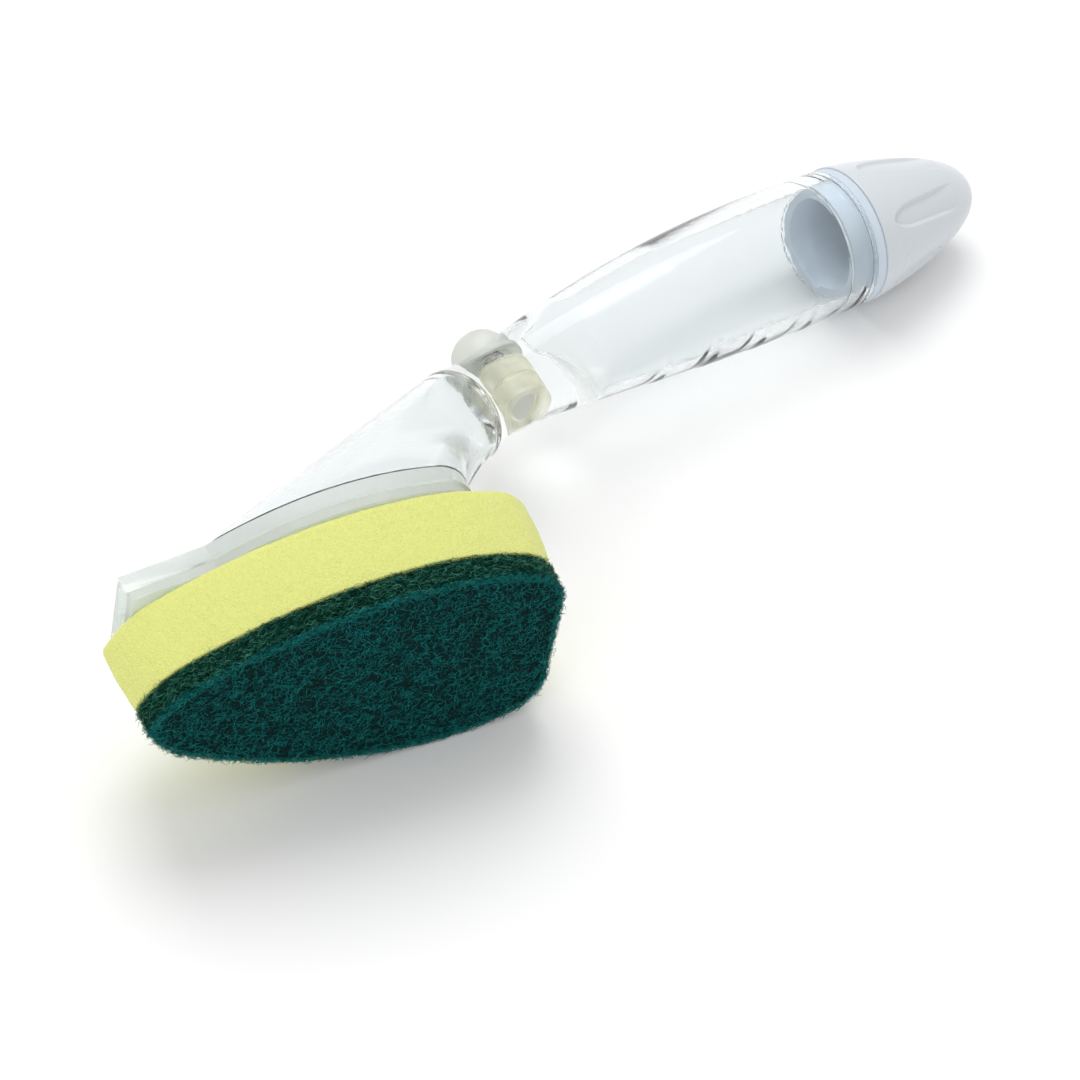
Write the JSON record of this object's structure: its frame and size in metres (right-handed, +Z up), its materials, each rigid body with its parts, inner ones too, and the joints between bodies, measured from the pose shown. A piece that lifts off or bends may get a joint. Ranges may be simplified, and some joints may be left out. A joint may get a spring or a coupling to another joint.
{
  "type": "soap dispensing dish wand",
  "caption": "Dish wand with a clear soap-filled handle, a screw end cap, a press valve button, a fan-shaped head and a slide-on sponge refill with a scrub pad.",
  "frame": {"origin": "bottom centre of the bounding box, on the table that the wand lies on", "axes": "+X from the head's tip towards the end cap, +Y away from the scrub face, +Z up: the wand lies on its side with its scrub face towards -Y"},
  "size_m": [0.2462, 0.1148, 0.0572],
  "materials": {
    "clear_handle": "clear moulded plastic, glossy, faint blue-green",
    "clear_neck": "clear moulded plastic, glossy, faint blue-green",
    "clear_plate": "clear moulded plastic, glossy",
    "collar": "clear moulded plastic with a blue-grey cast",
    "cap": "white moulded plastic, satin gloss",
    "seal": "soft translucent silicone",
    "silicone": "soft milky silicone",
    "white_plastic": "white moulded plastic",
    "spring_steel": "drawn stainless wire",
    "seal_rubber": "pale beige silicone rubber",
    "cream_plastic": "cream moulded plastic",
    "carrier": "clear moulded plastic, slightly grey",
    "foam": "fine open-cell foam, yellow",
    "scrub": "non-woven web of crimped nylon fibre with grit, dark green"
  },
  "bodies": {
    "handle": {"handle_shell": "clear_handle", "neck_shell": "clear_neck", "head_plate": "clear_plate", "mouth_collar": "collar", "valve_body": "cream_plastic", "upper_body_seal": "seal_rubber", "lower_body_seal": "seal_rubber", "stem_seal": "seal_rubber", "outlet_valve": "silicone", "return_spring": "spring_steel"},
    "seal": {"cap_seal": "seal"},
    "cap": {"end_cap": "cap"},
    "button": {"soap_button": "silicone", "spring_cup": "white_plastic", "valve_stem": "white_plastic", "valve_disc": "silicone"},
    "refill": {"carrier_plate": "carrier", "foam_sponge": "foam", "scrub_pad": "scrub"}
  },
  "joints": [
    {"name": "cap_lift", "type": "slide", "parent": "handle", "child": "seal", "axis": [0.9763, 0.1948, -0.0944], "range_m": [0, 0.0299]},
    {"name": "cap_turn", "type": "hinge", "parent": "seal", "child": "cap", "pos_m": [0.08723, 0.04059, 0.01663], "axis": [0.9763, 0.1948, -0.0944], "range_deg": [0, 900]},
    {"name": "button_press", "type": "slide", "parent": "handle", "child": "button", "axis": [0.1663, -0.9831, -0.0768], "range_m": [0, 0.0022], "stiffness_N_per_m": 500, "springref_m": -0.001, "deforming": ["return_spring"]},
    {"name": "refill_slide", "type": "slide", "parent": "handle", "child": "refill", "axis": [-0.9942, 0, 0.108], "range_m": [0, 0.075]}
  ],
  "couplings": [
    {"joint": "cap_turn", "follows": "cap_lift", "rad_per_m": 523.6}
  ]
}
